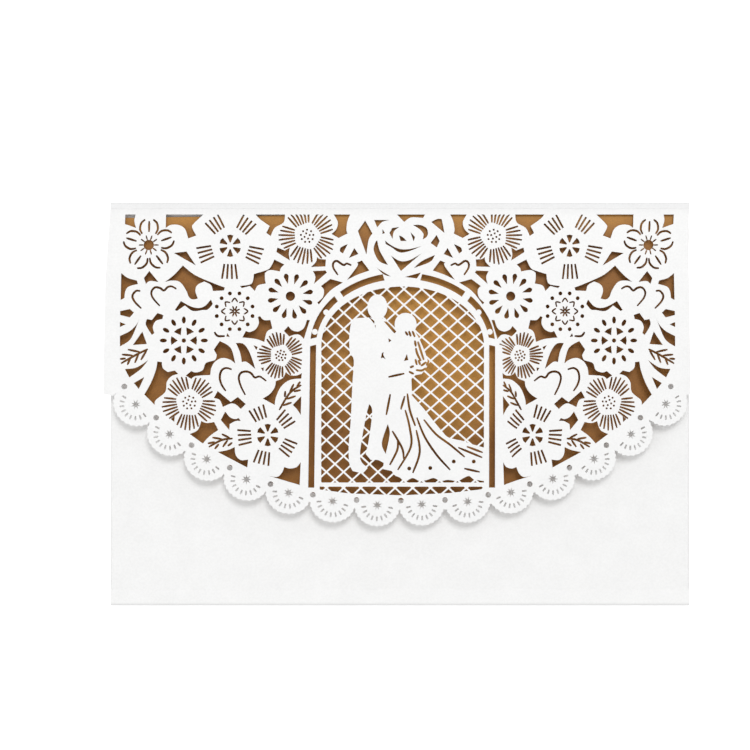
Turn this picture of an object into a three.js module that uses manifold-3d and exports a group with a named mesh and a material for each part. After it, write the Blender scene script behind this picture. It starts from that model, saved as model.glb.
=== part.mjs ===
// Laser-cut wedding invitation: one sheet of card folded into a pocket with a lace flap, and its insert.
// Millimetres. The card lies on its back with the top fold away along +Y; the frame is its centre.
import * as THREE from "three";
import { mergeVertices } from "three/addons/utils/BufferGeometryUtils.js";
import Module from "manifold-3d";

// The folded card
const cardWidth = 178;
const cardHeight = 124;
const paper = 0.3; // thickness of the card
const pocketSide = 74; // height of the pocket at its sides
const pocketMiddle = 32.6; // height of the pocket under the lowest point of its mouth
// Curve of the pocket's mouth
const mouth = { handle: 46, sideOut: 66, sideRise: 15, stepIn: 2.6, stepDown: 0.5 };
const tabWidth = 12; // glued side tabs inside the pocket
const tabFoot = 5; // where the tabs start above the bottom fold
const glueSink = 0.05; // how far a glued face beds into the sheet under it
const foldSteps = 3; // facets round half a fold

// The insert card
const insertPaper = 0.3;
const insertSide = 3; // from each side of the card in to the insert
const insertDrop = 3.4; // from the top fold down to the insert, at its middle
const insertFoot = 2.6; // from the bottom fold up to the insert, at its middle
const insertTurn = 0.9; // degrees by which the insert sits askew
const clearance = 0.3; // air over and under the insert

// The flap
const flapDrop = 100; // from the fold to the tip of the lowest scallop
const flapSpread = 0.9; // how much wider than the fold the flap is at each lower corner
const flapLift = 2.2; // degrees by which the fold springs open
const frameSide = 5.1; // plain margin beside the lace
const frameTop = 3.75; // plain margin under the fold
const shoulder = 3; // the lace's straight sides end this far above its border
const smallestCut = 0.9; // area of the smallest opening between ornaments

// The pattern is drawn on a flap of these sizes and stretched to the real one
const drawnHalfWidth = 90.5;
const drawnDrop = 99.5;
const drawnCorner = 58.9; // from the fold to the square corners above the scallops

// The scalloped border
const scallops = 14;
const scallopRadius = 6.75;
const scallopBulge = 1.5; // scallop centres outside the line of dots
const borderBand = 2.3; // plain band inside the line of dots
const dotRadius = 0.83;
const dotLine = { low: 91.6, handle: 46, endOut: 84, endDown: 56.6, endAngle: 46, endHandle: 29 };

// The arch, its slots and its lattice
const archMiddle = 0.5; // how far right of the middle the arch is drawn
const archSpring = 43.9; // where the arch springs from its straight sides
const archFloor = 86.1;
const archGround = 6; // how far the arch's ground runs on below its floor
const archInner = { half: 25, rise: 18 };
const archSlotIn = { half: 26.6, rise: 20.3 };
const archSlotOut = { half: 28.6, rise: 22.3 };
const archOuter = { half: 30.5, rise: 23.4 };
// Slits in the flowers: their inner and outer ends as shares of the flower's reach
const barSlit = { inner: 0.42, outer: 0.78, apart: 8 };
const barWedge = { inner: 0.09, outer: 0.27 };
const daisySlit = { inner: 0.38, outer: 0.88 };
const lattice = { across: 6.9, down: 6.1, bar: 0.8, firstOut: -27.1, firstDown: 29.5 };

const wasm = await Module();
wasm.setup();

// A closed geometry as a solid for joining and cutting.
function solid(geometry) {
  const bare = geometry.clone();
  bare.deleteAttribute("normal");
  bare.deleteAttribute("uv");
  const merged = mergeVertices(bare, 1e-5);
  return new wasm.Manifold(
    new wasm.Mesh({
      numProp: 3,
      vertProperties: merged.attributes.position.array,
      triVerts: new Uint32Array(merged.index.array),
    }),
  );
}

const joined = (solids) => solids.reduce((all, one) => all.add(one));

// A solid back as a named mesh.
function meshOf(body, name, material) {
  const { vertProperties, triVerts } = body.getMesh();
  const geometry = new THREE.BufferGeometry();
  geometry.setAttribute("position", new THREE.BufferAttribute(vertProperties, 3));
  geometry.setIndex(new THREE.BufferAttribute(triVerts, 1));
  geometry.computeVertexNormals();
  const mesh = new THREE.Mesh(geometry, material);
  mesh.name = name;
  return mesh;
}

// An outline as a plate of the given thickness, standing on z = 0. Outlines run either way round.
function plate(points, thickness) {
  const shape = new THREE.Shape(points.map(([x, y]) => new THREE.Vector2(x, y)));
  return solid(new THREE.ExtrudeGeometry(shape, { depth: thickness, bevelEnabled: false }));
}

const radians = THREE.MathUtils.degToRad;
const polar = (radius, angle) => [radius * Math.cos(angle), radius * Math.sin(angle)];
const range = (count) => Array.from({ length: count }, (_, i) => i);
const shifted = (points, [x, y]) => points.map(([a, b]) => [a + x, b + y]);
const mirrored = (points) => points.map(([x, y]) => [-x, y]);

function turned(points, angle) {
  const [c, s] = [Math.cos(angle), Math.sin(angle)];
  return points.map(([x, y]) => [x * c - y * s, x * s + y * c]);
}

// Points of a cubic curve from one end to the other.
function bezier(a, b, c, d, steps) {
  const curve = new THREE.CubicBezierCurve(...[a, b, c, d].map((place) => new THREE.Vector2(...place)));
  return curve.getPoints(steps).map(({ x, y }) => [x, y]);
}

// Outlines of the ornaments. The pattern's x runs across from the middle and its y down from the fold,
// so angles turn clockwise on the flap.
const circle = (radius, steps) => range(steps).map((i) => polar(radius, (2 * Math.PI * i) / steps));

// A ring of round lobes: circles of radius round whose far sides reach out to reach.
function lobed({ lobes, reach, round, turn = 0, steps = 5 }) {
  const centre = reach - round;
  const lobe = (2 * Math.PI) / lobes;
  return range(lobes * steps).map((i) => {
    const off = ((i % steps) / steps - 0.5) * lobe;
    const radius = centre * Math.cos(off) + Math.sqrt(round ** 2 - (centre * Math.sin(off)) ** 2);
    return polar(radius, Math.floor(i / steps) * lobe + off - radians(turn));
  });
}

// The classic heart curve, with its tip down.
function heart({ width, height, turn = 0, steps = 10 }) {
  const outline = range(steps).map((i) => {
    const t = (2 * Math.PI * i) / steps;
    const up = (13 * Math.cos(t) - 5 * Math.cos(2 * t) - 2 * Math.cos(3 * t) - Math.cos(4 * t) + 2.5) / 29;
    return [(width / 2) * Math.sin(t) ** 3, -height * up];
  });
  return turned(outline, radians(turn));
}

// A pointed leaf between two places.
function leaf(from, to, width, steps = 3) {
  const [dx, dy] = [to[0] - from[0], to[1] - from[1]];
  const length = Math.hypot(dx, dy);
  const side = (sign) =>
    range(steps).map((i) => {
      const along = (sign > 0 ? i : steps - i) / steps;
      const off = (sign * width * Math.sin(Math.PI * along)) / 2;
      return [from[0] + along * dx - (off * dy) / length, from[1] + along * dy + (off * dx) / length];
    });
  return [...side(1), ...side(-1)];
}

// A stem or slit of even width through two or more places.
function strip(places, width) {
  const edge = (sign) =>
    places.map(([x, y], i) => {
      const [ax, ay] = places[Math.max(i - 1, 0)];
      const [bx, by] = places[Math.min(i + 1, places.length - 1)];
      const length = Math.hypot(bx - ax, by - ay);
      return [x - (sign * width * (by - ay)) / length / 2, y + (sign * width * (bx - ax)) / length / 2];
    });
  return [...edge(1), ...edge(-1).reverse()];
}

// A thin spoke that widens outwards, as the laser cuts petal veins.
function spoke(inner, outer, width, angle) {
  return turned([[inner, 0], [outer, -width / 2], [outer, width / 2]], -radians(angle));
}
const spokes = (count, first, inner, outer, width) =>
  range(count).map((i) => spoke(inner, outer, width, first + (360 * i) / count));

// An arch: straight sides from the floor up to the spring, then half an ellipse.
function arch({ half, rise }, floor, steps = 14) {
  const top = range(steps + 1).map((i) => {
    const angle = (Math.PI * i) / steps;
    return [archMiddle + half * Math.cos(angle), archSpring - rise * Math.sin(angle)];
  });
  return [[archMiddle + half, floor], ...top, [archMiddle - half, floor]];
}

// The line of dots along the scallops, from the left end to the right end, at even steps.
function dotPlaces() {
  const { low, handle, endOut, endDown, endAngle, endHandle } = dotLine;
  const pull = polar(endHandle, radians(endAngle));
  const half = new THREE.CubicBezierCurve(
    new THREE.Vector2(0, low),
    new THREE.Vector2(handle, low),
    new THREE.Vector2(endOut - pull[0], endDown + pull[1]),
    new THREE.Vector2(endOut, endDown),
  );
  const right = half.getSpacedPoints(scallops / 2).map(({ x, y }) => [x, y]);
  return [...mirrored(right).reverse().slice(0, -1), ...right];
}
const dots = dotPlaces();
const outward = dots.map((_, i) => {
  const [ax, ay] = dots[Math.max(i - 1, 0)];
  const [bx, by] = dots[Math.min(i + 1, dots.length - 1)];
  const length = Math.hypot(bx - ax, by - ay);
  return [-(by - ay) / length, (bx - ax) / length];
});
const beside = (distance) =>
  dots.map(([x, y], i) => [x + distance * outward[i][0], y + distance * outward[i][1]]);
const scallopPlaces = dots.slice(1).map(([x, y], i) => {
  const [ax, ay] = dots[i];
  const bulge = scallopBulge / Math.hypot(x - ax, y - ay);
  return [(x + ax) / 2 - bulge * (y - ay), (y + ay) / 2 + bulge * (x - ax)];
});

// Places in the left half of the lace; the right half mirrors them.
const cornerFlower = [-76.8, 13.1];
const barFlowers = [
  { place: [-52.2, 13.4], reach: 12.91, turn: 127 },
  { place: [-40.7, 71.5], reach: 11.37, turn: 113 },
];
const daisies = [
  { place: [-28.7, 10.4], reach: 10.14, turn: 111 },
  { place: [-64.5, 61.5], reach: 9.99, turn: 122 },
  { place: [-36.7, 47.1], reach: 8.3, turn: 106 },
];
const rosette = [-66.1, 42.5];
const dottedBlossom = [-50.8, 33.5];
const teardropFlower = [-33.9, 28.9];
const balls = [
  { place: [-59.9, 27.3], radius: 2.77 },
  { place: [-51.5, 64.3], radius: 2.46 },
];
const hearts = [
  { place: [-70.9, 29.4], width: 12.6, height: 10.45, turn: 8 },
  { place: [-78.1, 30.6], width: 11.99, height: 11.07, turn: -8 },
  { place: [-44.9, 55.5], width: 13.22, height: 12.3, turn: 8 },
  { place: [-52.2, 54], width: 12.6, height: 12.91, turn: -6 },
  { place: [-18.2, 20.5], width: 9.22, height: 9.22, turn: 0 },
];
const leaves = [
  { from: [-76, 44.5], to: [-86.5, 50.3], width: 5.53 },
  { from: [-29.1, 52.5], to: [-38, 65.1], width: 5.84 },
  { from: [-49.2, 71.8], to: [-60.7, 76.1], width: 5.84 },
];
const stems = [
  [[-79.2, 22], [-79, 27]],
  [[-72.9, 22], [-73, 26.3]],
  [[-69.1, 16.8], [-63.7, 20.5], [-57.1, 23.3]],
  [[-66.4, 30.6], [-62.2, 31.1], [-59.2, 29.1]],
  [[-41.9, 11.9], [-36.4, 11.9]],
  [[-41.3, 15.3], [-33.4, 19.6]],
  [[-28.5, 20.3], [-21.2, 20.3]],
  [[-26.7, 26.7], [-20, 21.7]],
  [[-52.2, 42.3], [-41.9, 43.9]],
  [[-52.8, 42.6], [-50.1, 46.3], [-49.5, 50.3]],
  [[-46.2, 43.3], [-43.7, 47.6], [-42.8, 52.2]],
  [[-56.5, 64.2], [-52.8, 63.8]],
  [[-57.4, 66.3], [-52.5, 72.1]],
  [[-75.1, 47.9], [-76.6, 54], [-79.6, 58.9]],
  [[-82.3, 55.2], [-75.7, 50.3]],
  [[-79, 36.2], [-76, 44.5]],
  [[-66.1, 12.8], [-61.3, 12.8]],
  [[-78.7, 32.5], [-78.7, 36.8], [-80.5, 41.4], [-84.1, 45.1]],
  [[-79.6, 34.3], [-82, 37.7], [-86.5, 39.9]],
  [[-86.5, 35.9], [-81.7, 35.9]],
  [[-86.5, 31.6], [-81.7, 31.3]],
];
const stemWidth = 2;

// Outline of the sheet that is left standing in the middle, above the arch, with the rose in it.
const roseGround = [
  ...[[-15.7, 2.4], [-16.6, 8.5], [-19.7, 11.6], [-19.7, 18.4], [-15.1, 27.6]],
  ...[[15, 27.6], [20, 18.4], [20, 11.6], [16.6, 8.5], [15.3, 2.4]],
];

// Cut-outs in the middle of the lace, mirrored about the arch.
const besideRose = [
  [[-18.5, 14], [-16.3, 12.8], [-17.8, 15.7]],
  [[-14.2, 14], [-12.9, 15.9], [-16, 17.1]],
  [[-12, 17.9], [-9.7, 21], [-13.6, 22.3], [-16.6, 23.9], [-13.4, 19.6]],
];

// Cut-outs between the petals of the rose.
const roseCuts = [
  [[-1, 3.8], [7.6, 3.8], [7, 4.8], [3.3, 4.7], [1.2, 6.1]],
  [[-8, 5.4], [-3.1, 5.4], [-5.6, 6.1], [-7.1, 7.7]],
  [[-10.8, 5.6], [-8.7, 9.6], [-10.7, 16], [-13.1, 8.8]],
  [[-7.3, 11.6], [-6.5, 15], [-4.1, 19.3], [-6.8, 18], [-8.4, 14.7]],
  [[-0.4, 7.6], [-2.2, 8.8], [-2.5, 11.3], [-3.4, 9.7], [-2.8, 7.9]],
  [[3.8, 7], [6.7, 7.3], [8.2, 9.1], [6.7, 11.4], [6.4, 8.5]],
  [[-0.5, 10.2], [1.8, 11.9], [-0.1, 11.9]],
  [[3, 9.1], [4.4, 10.7], [3.9, 12.1]],
  [[-4.8, 11.7], [-2.8, 13.1], [-0.1, 14.2], [6.4, 13.4], [-0.1, 15.4], [-3.1, 13.9]],
  [[-3.1, 16.4], [-0.4, 17.9], [2.7, 17.7], [6.4, 15.6], [-0.1, 21.1]],
  [[3.9, 20.2], [7, 17.4], [10.4, 16.2], [8.9, 18.4]],
  [[-7.4, 20.2], [-3.1, 22.8], [-5.3, 22.2]],
  [[1.2, 23], [6.1, 21.6], [4.9, 23.4]],
  [[11, 10.1], [11.9, 11.9], [11, 13.9], [9.2, 12.5]],
  [[9.5, 6.1], [11, 5.1], [12.7, 5.1], [13.5, 9.4]],
];

// The couple under the arch, as plain silhouettes.
const heads = [
  { place: [-7.3, 32.2], width: 6.15, height: 7.69 },
  { place: [1.8, 36.6], width: 6.46, height: 6.46 },
];
const suit = [
  ...[[-9.3, 33.7], [-13.9, 36.5], [-16, 40.2], [-15.7, 47.2], [-14.5, 49.1], [-15.1, 57.7], [-15.7, 69.4]],
  ...[[-16.3, 77.7], [-15.1, 82.6], [-11.4, 83.2], [-12.6, 78.6], [-12, 73.1], [-9.7, 62], [-8.7, 64.5]],
  ...[[-10.2, 76.8], [-5.3, 79.8], [-2.8, 82.3], [2.7, 70], [2.7, 45.4], [-1, 37.7], [-5.3, 33.7]],
];
const dress = [
  ...[[-1, 38.6], [3.9, 39.3], [5.8, 42.3], [8.2, 49.1], [6.4, 52.8], [3, 53.4]],
  ...[[2.4, 57.1], [8.9, 66.3], [14.7, 72.5], [25.6, 75.5], [26.2, 83.5], [21.2, 84.1]],
  ...[[11.9, 85.1], [1.2, 84.8], [-3.4, 82.3], [-5.3, 73.1], [-3.4, 57.7], [-4.1, 45.4]],
];
const dressFolds = [
  [[-3.3, 58.9], [-4.5, 65.4]],
  [[1.2, 59.5], [-0.1, 63.7]],
  [[1.9, 58.8], [4.4, 68.8]],
  [[1.3, 63.8], [3, 75.2], [-1, 82.3]],
  [[4.7, 70], [5.8, 76.8], [3.6, 83.2]],
  [[4.9, 66.2], [11, 77.7], [15.2, 82.3]],
  [[7, 66.8], [15, 74.5], [19.7, 78.3]],
  [[17.7, 75.4], [25.1, 78.4]],
  [[-3.9, 53.7], [1, 52.6]],
];
const dressDots = [[2.6, 81.8], [9, 81.7], [16.3, 79.7], [22.5, 79.7]];
const dressTear = [[-4.1, 68.2], [-3.4, 71.2], [-4.7, 77.4], [-5.9, 74]];

// The strip of lattice under the arch's floor.
const footWindow = [
  ...[[-24.9, 87.4], [25.6, 87.4], [25.6, 88], [15, 89.4]],
  ...[[0.2, 90.1], [-15.7, 89.5], [-24.9, 88.3]],
];

// The folded sheet is a ribbon seen from its side: pocket front, bottom fold, back, top fold and the
// start of the flap.
const pocketGap = paper + clearance + insertPaper + clearance; // glued tab, then the insert with air
const frontLow = paper + pocketGap; // underside of the pocket front
const foldMid = (frontLow + paper) / 2; // middle of the card's thickness round each fold
const outerRadius = foldMid + paper / 2;
const lift = radians(flapLift);
const flapStub = 1; // flat start of the flap on the ribbon
const stubLap = 0.5; // how far the lace plate laps over it
const plateStart = outerRadius + flapStub - stubLap; // the lace plate starts this far from the fold's edge

// Everything below works on the real flap: the drawn pattern is stretched onto it, its y turned up.
const stretchX = (cardWidth / 2 + flapSpread) / drawnHalfWidth;
const stretchY = flapDrop / drawnDrop;
const onFlap = (points) => points.map(([x, y]) => [x * stretchX, -y * stretchY]);
const through = 3 * paper; // cutters stand proud of the card on both faces
const cutter = (points) => plate(onFlap(points), through).translate([0, 0, -paper]);
const bothHalves = (outlines) => outlines.flatMap((points) => [points, mirrored(points)]);
const overArch = (outlines) =>
  outlines.flatMap((points) => [points, points.map(([x, y]) => [2 * archMiddle - x, y])]);
// Slivers between ornaments stay standing, because a laser leaves no cut that small.
const clearCuts = (cuts) => joined(cuts.decompose().filter((cut) => cut.volume() > smallestCut * through));
const atEach = (places, outline) => places.map((place) => shifted(outline, place));

// The blank: square to the corners, then a row of round scallops.
function flapBlank() {
  const top = cardWidth / 2 / stretchX;
  const side = drawnHalfWidth;
  const start = plateStart / stretchY;
  const body = [[-top, start], [-side, drawnCorner], ...beside(0), [side, drawnCorner], [top, start]];
  const scallop = circle(scallopRadius, 14);
  return joined([body, ...atEach(scallopPlaces, scallop)].map((points) => plate(onFlap(points), paper)));
}

// The part of the blank that carries lace, inside its plain margins.
function laceField() {
  const top = cardWidth / 2 / stretchX;
  const edge = (down) => top + ((drawnHalfWidth - top) * down) / drawnCorner - frameSide;
  const low = beside(-borderBand);
  const sideFoot = low[0][1] - shoulder;
  return cutter([
    [-edge(frameTop), frameTop],
    [-edge(sideFoot), sideFoot],
    ...low,
    [edge(sideFoot), sideFoot],
    [edge(frameTop), frameTop],
  ]);
}

// What stays standing in the field: flowers, hearts, leaves and the stems that tie them together.
function ornaments() {
  const left = [
    shifted(lobed({ lobes: 5, reach: 11.68, round: 4.86, turn: 90 }), cornerFlower),
    ...[...barFlowers, ...daisies].map(({ place, reach, turn }) =>
      shifted(lobed({ lobes: 5, reach, round: reach / 2, turn }), place),
    ),
    shifted(lobed({ lobes: 12, reach: 10.76, round: 2.61, steps: 2 }), rosette),
    shifted(lobed({ lobes: 12, reach: 8.3, round: 2.31, steps: 2 }), dottedBlossom),
    shifted(lobed({ lobes: 10, reach: 10.76, round: 3.38, steps: 3 }), teardropFlower),
    ...balls.map(({ place, radius }) => shifted(circle(radius, 9), place)),
    ...hearts.map(({ place, ...form }) => shifted(heart(form), place)),
    ...leaves.map(({ from, to, width }) => leaf(from, to, width)),
    ...stems.map((places) => strip(places, stemWidth)),
  ];
  return joined([...bothHalves(left), roseGround, arch(archOuter, archFloor + archGround)].map(cutter));
}

// The arch's slots, broken by bridges, and the lattice behind the couple.
function archCuts() {
  const slots = cutter(arch(archSlotOut, archFloor + 1)).subtract(cutter(arch(archSlotIn, archFloor + 2)));
  const bridges = [
    [[-6.2, 20.8], [-3.7, 27], [4.6, 27], [7, 20.8]],
    ...overArch([strip([[-20.9, 26.3], [-16.6, 32.5]], 1.84), strip([[-29.4, 44.2], [-23.6, 41.7]], 1.69)]),
  ];
  return slots.subtract(joined(bridges.map(cutter)));
}

function latticeCuts() {
  const { across, down, bar, firstOut, firstDown } = lattice;
  const share = 1 - (bar * Math.hypot(across, down)) / (across * down);
  const [halfAcross, halfDown] = [(share * across) / 2, (share * down) / 2];
  const cell = [[0, halfDown], [halfAcross, 0], [0, -halfDown], [-halfAcross, 0]];
  const rows = Math.ceil((2 * (archFloor + archGround - firstDown)) / down) + 5;
  const columns = Math.ceil((2 * archInner.half) / across) + 3;
  const cells = range(rows).flatMap((row) =>
    range(columns).map((column) => {
      const out = firstOut + (column - 1 + (row % 2) / 2) * across;
      return shifted(cell, [out, firstDown + ((row - 2) * down) / 2]);
    }),
  );
  const head = ({ place, width, height }) =>
    shifted(circle(0.5, 14).map(([x, y]) => [x * width, y * height]), place);
  return joined(cells.map(cutter))
    .intersect(joined([arch(archInner, archFloor), footWindow].map(cutter)))
    .subtract(joined([...heads.map(head), suit, dress].map(cutter)));
}

// A star with the given points, its hollows half as far out.
const star = (points, radius) =>
  range(2 * points).map((i) => polar(i % 2 ? radius / 2 : radius, (Math.PI * i) / points));

// Small cuts inside the ornaments and along the border.
function fineCuts() {
  const at = (place, outlines) => outlines.map((points) => shifted(points, place));
  const barFlower = ({ place, reach, turn }) => {
    const pair = [-barSlit.apart, barSlit.apart].flatMap((off) =>
      spokes(5, turn + off, reach * barSlit.inner, reach * barSlit.outer, 0.86),
    );
    const wedges = spokes(6, 90, reach * barWedge.inner, reach * barWedge.outer, 1.84);
    return at(place, [...pair, ...wedges]);
  };
  const daisy = ({ place, reach, turn }) =>
    at(place, spokes(10, turn + 18, reach * daisySlit.inner, reach * daisySlit.outer, 0.98));
  const left = [
    ...at(cornerFlower, [star(5, 2.77), ...spokes(5, 90, 3.69, 9.53, 1.08)]),
    ...barFlowers.flatMap(barFlower),
    ...daisies.flatMap(daisy),
    ...at(rosette, [...spokes(6, 0, 1.84, 3.84, 2.77), ...spokes(12, 0, 5.23, 7.38, 1.38)]),
    ...at(dottedBlossom, [star(6, 3.69)]),
    ...at(teardropFlower, [circle(1.44, 8), ...spokes(12, 15, 3.84, 6.76, 1.54)]),
  ];
  const border = atEach(dots, circle(dotRadius, 6));
  const folds = dressFolds.map((places) => strip(places, 0.49));
  const onDress = [...folds, ...atEach(dressDots, circle(0.61, 6)), dressTear];
  return joined(
    [...bothHalves(left), ...border, ...onDress, ...roseCuts, ...overArch(besideRose)].map(cutter),
  );
}

// The lace flap flat, its fold line on y = 0.
function lacePlate() {
  return flapBlank()
    .subtract(clearCuts(laceField().subtract(ornaments())))
    .subtract(archCuts())
    .subtract(clearCuts(latticeCuts()))
    .subtract(fineCuts());
}

// Both faces of a path of [position, height, angle] frames, as one outline of the card's thickness.
function thick(path, thickness) {
  const face = (sign) =>
    path.map(([y, z, angle]) => {
      const [along, up] = polar((sign * thickness) / 2, angle);
      return [y - up, z + along];
    });
  return [...face(1), ...face(-1).reverse()];
}

// Frames round a bend about a centre; angle is the direction of travel.
function bend(y, z, radius, from, to) {
  return range(2 * foldSteps + 1).map((i) => {
    const angle = from + ((to - from) * i) / (2 * foldSteps);
    return [y + radius * Math.sin(angle), z - radius * Math.cos(angle), angle];
  });
}

const topBend = bend(cardHeight - outerRadius, outerRadius, foldMid, 0, Math.PI - lift);
const [stubY, stubZ] = topBend[topBend.length - 1];

// A profile drawn in y and z, run across the card's width.
function acrossCard(points, width) {
  return plate(points, width).rotate([90, 0, 90]).translate([-width / 2, 0, 0]);
}

function foldedRibbon() {
  const stub = [stubY - flapStub * Math.cos(lift), stubZ + flapStub * Math.sin(lift), Math.PI - lift];
  const front = [pocketSide, frontLow + paper / 2, -Math.PI];
  const bottomBend = bend(outerRadius, outerRadius, foldMid, -Math.PI, 0);
  return acrossCard(thick([front, ...bottomBend, ...topBend, stub], paper), cardWidth);
}

// The mouth of the pocket follows the flap's scallops.
function mouthCut() {
  const { handle, sideOut, sideRise, stepIn, stepDown } = mouth;
  const side = cardWidth / 2;
  const end = [side - stepIn, pocketSide - stepDown];
  const right = bezier([0, pocketMiddle], [handle, pocketMiddle], [sideOut, pocketMiddle + sideRise], end, 8);
  const over = [[side + 1, pocketSide + 1], [-side - 1, pocketSide + 1]];
  const outline = [...mirrored(right).reverse().slice(0, -1), ...right, ...over];
  return plate(outline, 2 * paper).translate([0, 0, frontLow - paper / 2]);
}

// Each side of the pocket folds in to a tab that is glued to the back.
const tabRadius = (frontLow - paper + glueSink) / 2; // middle of the card's thickness round the side fold
const tabFold = cardWidth / 2 - tabRadius - paper / 2;

function sideTab() {
  const middle = frontLow + paper / 2 - tabRadius;
  const join = [tabFold - paper, frontLow + paper / 2, 0];
  const inward = [tabFold - tabWidth, middle - tabRadius, -Math.PI];
  const path = [join, ...bend(tabFold, middle, -tabRadius, 0, -Math.PI), inward];
  return plate(thick(path, paper), pocketSide - tabFoot).rotate([90, 0, 0]).translate([0, pocketSide, 0]);
}

function wrap() {
  const tab = sideTab();
  const beyond = [[tabFold, tabFoot], [cardWidth, tabFoot], [cardWidth, cardHeight], [tabFold, cardHeight]];
  const trim = plate(beyond, 2 * paper).translate([0, 0, frontLow - paper / 2]);
  const lace = lacePlate()
    .translate([0, outerRadius, -paper / 2])
    .rotate([-flapLift, 0, 0])
    .translate([0, stubY, stubZ]);
  return foldedRibbon()
    .subtract(trim)
    .subtract(trim.mirror([1, 0, 0]))
    .subtract(mouthCut())
    .add(tab)
    .add(tab.mirror([1, 0, 0]))
    .add(lace);
}

// The insert card slides in front of the tabs.
function insert() {
  const [x, y] = [cardWidth / 2 - insertSide, (cardHeight - insertDrop - insertFoot) / 2];
  return plate([[-x, -y], [x, -y], [x, y], [-x, y]], insertPaper)
    .rotate([0, 0, insertTurn])
    .translate([0, insertFoot + y, 2 * paper + clearance]);
}

const white = new THREE.MeshStandardMaterial({ name: "white_card", color: "#f6f5f3", roughness: 0.6 });
const gold = new THREE.MeshStandardMaterial({ name: "gold_card", color: "#c39a58", roughness: 0.45 });

const invitation = new THREE.Group();
invitation.add(meshOf(wrap(), "lace_wrap", white), meshOf(insert(), "gold_insert", gold));
invitation.position.y = -cardHeight / 2;
export default invitation;
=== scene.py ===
import math
import bpy
import numpy as np
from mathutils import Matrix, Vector
from mathutils.geometry import delaunay_2d_cdt


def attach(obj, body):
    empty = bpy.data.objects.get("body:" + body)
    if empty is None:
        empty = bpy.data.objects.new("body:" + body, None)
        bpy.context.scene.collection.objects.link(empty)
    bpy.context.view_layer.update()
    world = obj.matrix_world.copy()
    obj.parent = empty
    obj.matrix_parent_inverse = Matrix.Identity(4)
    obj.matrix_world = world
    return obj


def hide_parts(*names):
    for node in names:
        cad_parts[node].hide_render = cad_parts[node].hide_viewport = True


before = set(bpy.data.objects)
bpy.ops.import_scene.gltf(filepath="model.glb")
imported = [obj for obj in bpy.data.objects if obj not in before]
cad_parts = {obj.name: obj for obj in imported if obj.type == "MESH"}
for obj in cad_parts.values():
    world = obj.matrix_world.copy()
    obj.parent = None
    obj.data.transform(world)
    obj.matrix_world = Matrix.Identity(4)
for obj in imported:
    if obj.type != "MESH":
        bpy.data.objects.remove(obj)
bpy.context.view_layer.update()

# The pattern is laid out on a drawing in which one unit is 0.3074 mm: x grows to the right and y
# down the flap. The middle of the card is near x 400 and its top fold at y 202.3.
drawing = {
    "unit": 0.3074,
    "middle": 401.2,
    "top": 202.3,
    "true": 400,  # where it is true to size across
    "spread": 4.6e-5,  # from there it narrows a little to its left
}

# The folded sheet in millimetres, as the frame has it
sheet = {
    "width": 178.0,
    "height": 124.0,
    "paper": 0.3,
    "frontLow": 1.5,  # underside of the pocket's front
    "outer": 1.05,  # radius of a fold's outside
    "bend": 0.9,  # radius of a fold's middle
    "foldSteps": 20,
    "lift": 2.2,  # degrees by which the flap springs open
    "stub": 1.0,  # flat start of the flap
    "tabWidth": 12.0,
    "tabFoot": 5.0,
    "tabBend": 0.625,
    "pocketSide": 74.0,
    "pocketMiddle": 32.6,
    "flapDrop": 100.0,
    "flapStrips": 12,  # strips in which the flap can bend
    "stripInset": 2.0,
    "spring": 0.9,  # how much higher the flap's left corner stands
    "bow": 1.8,  # how far the sprung flap arches up at its middle
    "bowShape": 0.8,  # under 1, the arch is highest nearer the fold
    "lean": 0.1,  # how far its lower edge lies to the left
    "skew": 0.369,  # how far its middle lies to the right
    "skewLoss": 1.5e-4,  # how that gets less towards its sides
    "settle": 15.0,  # distance from the fold over which the skew grows
    "eye": 600.0,  # height from which the drawing was taken
}

# The curve of the pocket's mouth, from its middle to its side
mouth = {
    "flat": 46,
    "knee": 66,
    "kneeRise": 15,
    "endIn": 2.6,
    "endDown": 0.5,
    "halvings": 40,
    "columns": 120,
}


# Outlines and slits

def toFlap(place):
    x = place[0] - drawing["middle"] + drawing["spread"] * (place[0] - drawing["true"]) ** 2
    y = place[1] - drawing["top"]
    return (x * drawing["unit"], y * drawing["unit"])


def onFlap(outlines):
    return [[toFlap(place) for place in outline] for outline in outlines]


def mirrored(outlines):
    return [[(-x, y) for x, y in outline] for outline in outlines]


def rounded(outline, steps=4, sharp=50):
    # A closed curve through the places that keeps the corners sharper than the given turn.
    count = len(outline)
    corner = []
    for i in range(count):
        ax, ay = outline[i - 1]
        bx, by = outline[i]
        cx, cy = outline[(i + 1) % count]
        turn = math.atan2((bx - ax) * (cy - by) - (by - ay) * (cx - bx),
                          (bx - ax) * (cx - bx) + (by - ay) * (cy - by))
        corner.append(abs(math.degrees(turn)) > sharp)
    line = []
    for i in range(count):
        b, c = outline[i], outline[(i + 1) % count]
        a = b if corner[i] else outline[i - 1]
        d = c if corner[(i + 1) % count] else outline[(i + 2) % count]
        for k in range(steps):
            line.append(splinePoint(a, b, c, d, k / steps))
    return line


def splinePoint(a, b, c, d, t):
    return tuple(
        0.5 * (2 * b[k] + (c[k] - a[k]) * t + (2 * a[k] - 5 * b[k] + 4 * c[k] - d[k]) * t * t
               + (3 * b[k] - a[k] - 3 * c[k] + d[k]) * t ** 3)
        for k in (0, 1)
    )


def smoothLine(places, steps=5):
    # A curve through the places.
    if len(places) < 3:
        return list(places)
    ends = [places[0]] + list(places) + [places[-1]]
    line = []
    for a, b, c, d in zip(ends, ends[1:], ends[2:], ends[3:]):
        line += [splinePoint(a, b, c, d, i / steps) for i in range(steps)]
    line.append(places[-1])
    return line


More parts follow.
